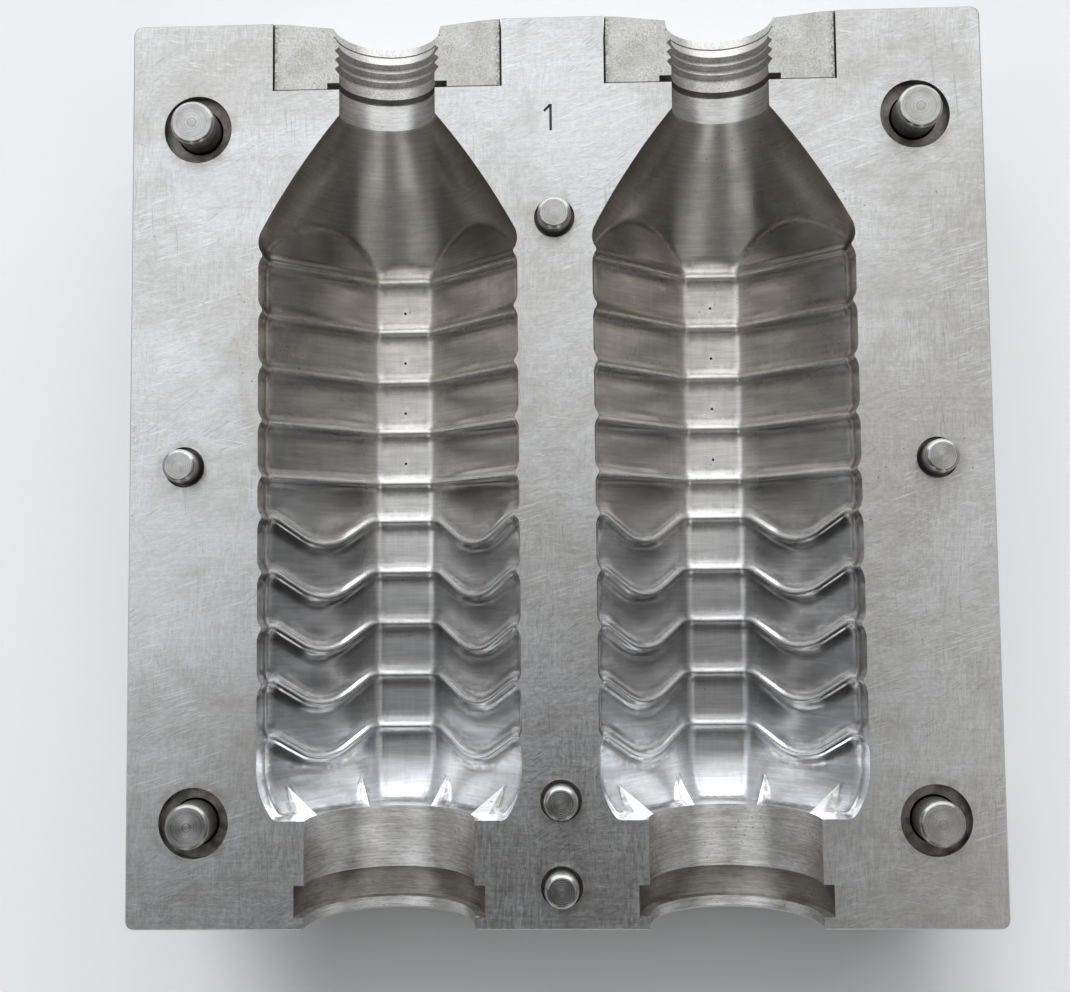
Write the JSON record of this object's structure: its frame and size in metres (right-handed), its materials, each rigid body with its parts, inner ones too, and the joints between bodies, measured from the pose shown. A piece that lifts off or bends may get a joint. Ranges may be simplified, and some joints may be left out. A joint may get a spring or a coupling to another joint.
{
  "type": "blow mould half",
  "caption": "Steel half of a stretch blow mould with side-by-side ribbed bottle cavities, fitted neck inserts, guide pins and open seats for base inserts.",
  "frame": {"origin": "middle of the back face, which lies on the floor", "axes": "+X across both cavities to the right, +Y from the base end to the neck end, +Z out of the parting face"},
  "size_m": [0.236, 0.25, 0.066],
  "materials": {
    "mould_steel": "ground",
    "insert_steel": "satin",
    "pin_steel": "turned",
    "screw_steel": "black oxide",
    "plug_brass": "satin"
  },
  "bodies": {
    "root": {"mould_block": "mould_steel", "neck_insert_left": "insert_steel", "neck_insert_right": "insert_steel", "guide_pin_lower_left": "pin_steel", "guide_pin_lower_right": "pin_steel", "guide_pin_upper_left": "pin_steel", "guide_pin_upper_right": "pin_steel", "locating_pin_left": "pin_steel", "locating_pin_right": "pin_steel", "locating_pin_upper": "pin_steel", "locating_pin_lower": "pin_steel", "locating_pin_lowest": "pin_steel", "insert_screw_left_a": "screw_steel", "insert_screw_left_b": "screw_steel", "insert_screw_right_a": "screw_steel", "insert_screw_right_b": "screw_steel", "channel_plug_left": "plug_brass", "channel_plug_right": "plug_brass"}
  },
  "joints": []
}
